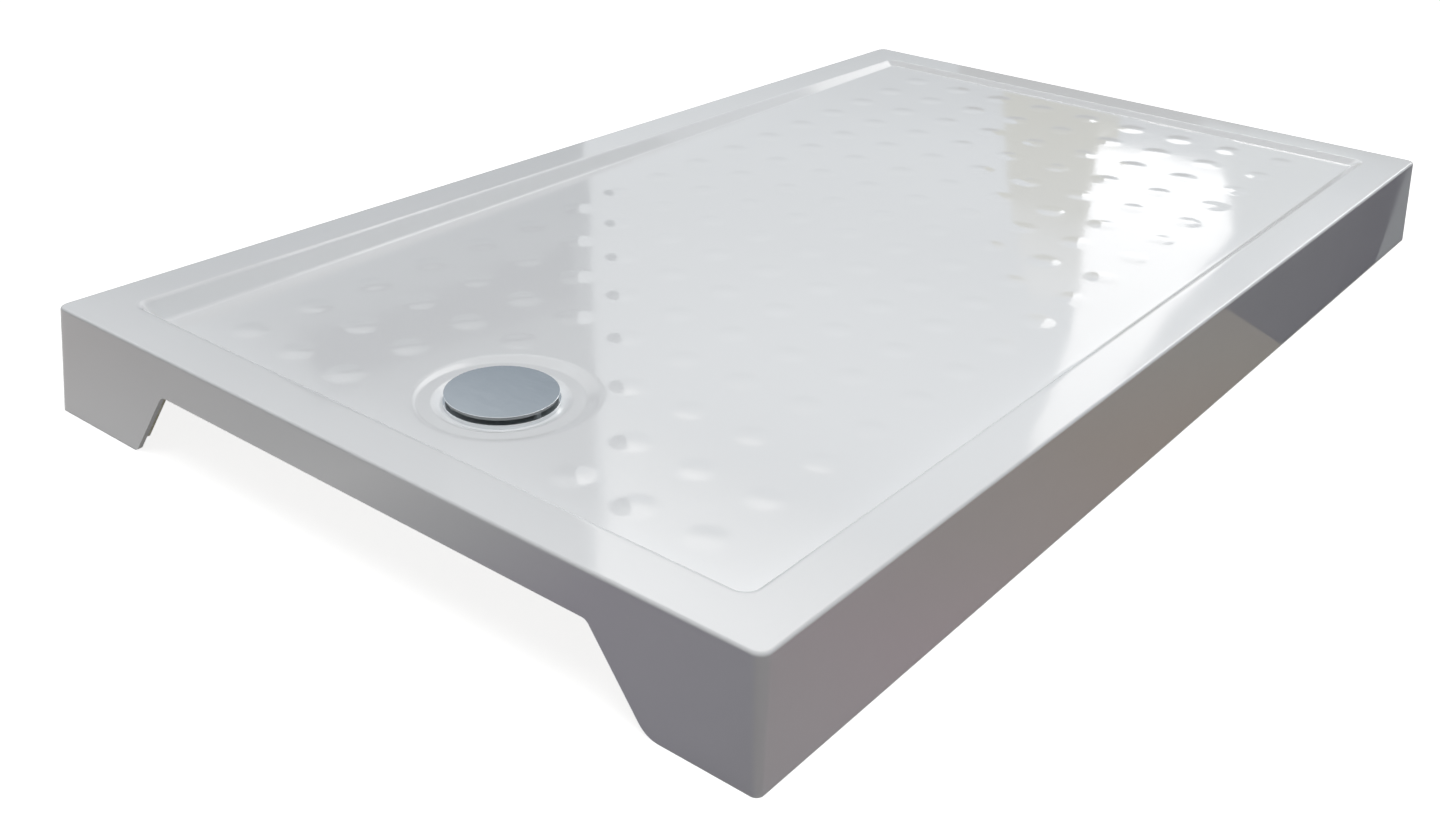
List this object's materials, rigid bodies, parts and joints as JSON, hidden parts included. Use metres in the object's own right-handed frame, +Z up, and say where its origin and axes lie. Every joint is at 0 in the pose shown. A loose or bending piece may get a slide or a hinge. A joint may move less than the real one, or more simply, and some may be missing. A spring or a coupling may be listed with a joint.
{
  "type": "shower tray",
  "caption": "Low rectangular acrylic shower tray with sloping domed floor, skirts with a pipe cut-out, flat chrome waste cover, low trap and adjustable feet.",
  "frame": {"origin": "centre of the tray's footprint, on the ground", "axes": "+X across the tray, +Y along it away from the waste and the pipe cut-out, +Z up"},
  "size_m": [0.714, 1.214, 0.0915],
  "materials": {
    "acrylic": "high-gloss white sanitary acrylic",
    "laminate": "rough sprayed glass-fibre laminate, resin side out",
    "board": "raw particle board",
    "black_plastic": "moulded, fine grain",
    "zinc_steel": "zinc plated",
    "chrome": "bright chrome plate",
    "grey_plastic": "moulded, satin",
    "white_plastic": "moulded polypropylene, satin",
    "rubber": "soft matt"
  },
  "bodies": {
    "root": {"tray_shell": "acrylic", "laminate_backing": "laminate", "support_board": "board", "waste_flange": "chrome", "flange_seal": "rubber", "underside_seal": "rubber", "trap_body": "white_plastic", "trap_top": "white_plastic", "trap_outlet": "white_plastic", "outlet_nut": "white_plastic", "outlet_seal": "rubber", "foot_bracket_1": "black_plastic", "foot_bracket_2": "black_plastic", "foot_bracket_3": "black_plastic", "foot_bracket_4": "black_plastic", "foot_bracket_5": "black_plastic", "foot_bracket_6": "black_plastic", "lock_nuts": "zinc_steel", "bracket_screws": "zinc_steel"},
    "siphon": {"dip_tube": "grey_plastic", "dip_tube_oring": "rubber", "siphon_cup": "grey_plastic"},
    "cover": {"waste_cover": "chrome", "cover_carrier": "grey_plastic"},
    "pad_1": {"foot_pad_1": "black_plastic"},
    "rod_1": {"foot_rod_1": "zinc_steel"},
    "pad_2": {"foot_pad_2": "black_plastic"},
    "rod_2": {"foot_rod_2": "zinc_steel"},
    "pad_3": {"foot_pad_3": "black_plastic"},
    "rod_3": {"foot_rod_3": "zinc_steel"},
    "pad_4": {"foot_pad_4": "black_plastic"},
    "rod_4": {"foot_rod_4": "zinc_steel"},
    "pad_5": {"foot_pad_5": "black_plastic"},
    "rod_5": {"foot_rod_5": "zinc_steel"},
    "pad_6": {"foot_pad_6": "black_plastic"},
    "rod_6": {"foot_rod_6": "zinc_steel"}
  },
  "joints": [
    {"name": "siphon_lift", "type": "slide", "parent": "root", "child": "siphon", "axis": [0, 0, 1], "range_m": [0, 0.08]},
    {"name": "cover_lift", "type": "slide", "parent": "siphon", "child": "cover", "axis": [0, 0, 1], "range_m": [0, 0.05]},
    {"name": "foot_travel_1", "type": "slide", "parent": "root", "child": "pad_1", "axis": [0, 0, -1], "range_m": [-0.003, 0.01]},
    {"name": "rod_turn_1", "type": "hinge", "parent": "pad_1", "child": "rod_1", "pos_m": [-0.225, -0.4, 0.018], "axis": [0, 0, -1], "range_deg": [-620, 2060]},
    {"name": "foot_travel_2", "type": "slide", "parent": "root", "child": "pad_2", "axis": [0, 0, -1], "range_m": [-0.003, 0.01]},
    {"name": "rod_turn_2", "type": "hinge", "parent": "pad_2", "child": "rod_2", "pos_m": [0.225, -0.4, 0.018], "axis": [0, 0, -1], "range_deg": [-620, 2060]},
    {"name": "foot_travel_3", "type": "slide", "parent": "root", "child": "pad_3", "axis": [0, 0, -1], "range_m": [-0.003, 0.01]},
    {"name": "rod_turn_3", "type": "hinge", "parent": "pad_3", "child": "rod_3", "pos_m": [-0.225, 0, 0.018], "axis": [0, 0, -1], "range_deg": [-620, 2060]},
    {"name": "foot_travel_4", "type": "slide", "parent": "root", "child": "pad_4", "axis": [0, 0, -1], "range_m": [-0.003, 0.01]},
    {"name": "rod_turn_4", "type": "hinge", "parent": "pad_4", "child": "rod_4", "pos_m": [0.225, 0, 0.018], "axis": [0, 0, -1], "range_deg": [-620, 2060]},
    {"name": "foot_travel_5", "type": "slide", "parent": "root", "child": "pad_5", "axis": [0, 0, -1], "range_m": [-0.003, 0.01]},
    {"name": "rod_turn_5", "type": "hinge", "parent": "pad_5", "child": "rod_5", "pos_m": [-0.225, 0.4, 0.018], "axis": [0, 0, -1], "range_deg": [-620, 2060]},
    {"name": "foot_travel_6", "type": "slide", "parent": "root", "child": "pad_6", "axis": [0, 0, -1], "range_m": [-0.003, 0.01]},
    {"name": "rod_turn_6", "type": "hinge", "parent": "pad_6", "child": "rod_6", "pos_m": [0.225, 0.4, 0.018], "axis": [0, 0, -1], "range_deg": [-620, 2060]}
  ],
  "couplings": [
    {"joint": "rod_turn_1", "follows": "foot_travel_1", "rad_per_m": 3590.4},
    {"joint": "rod_turn_2", "follows": "foot_travel_2", "rad_per_m": 3590.4},
    {"joint": "rod_turn_3", "follows": "foot_travel_3", "rad_per_m": 3590.4},
    {"joint": "rod_turn_4", "follows": "foot_travel_4", "rad_per_m": 3590.4},
    {"joint": "rod_turn_5", "follows": "foot_travel_5", "rad_per_m": 3590.4},
    {"joint": "rod_turn_6", "follows": "foot_travel_6", "rad_per_m": 3590.4}
  ]
}
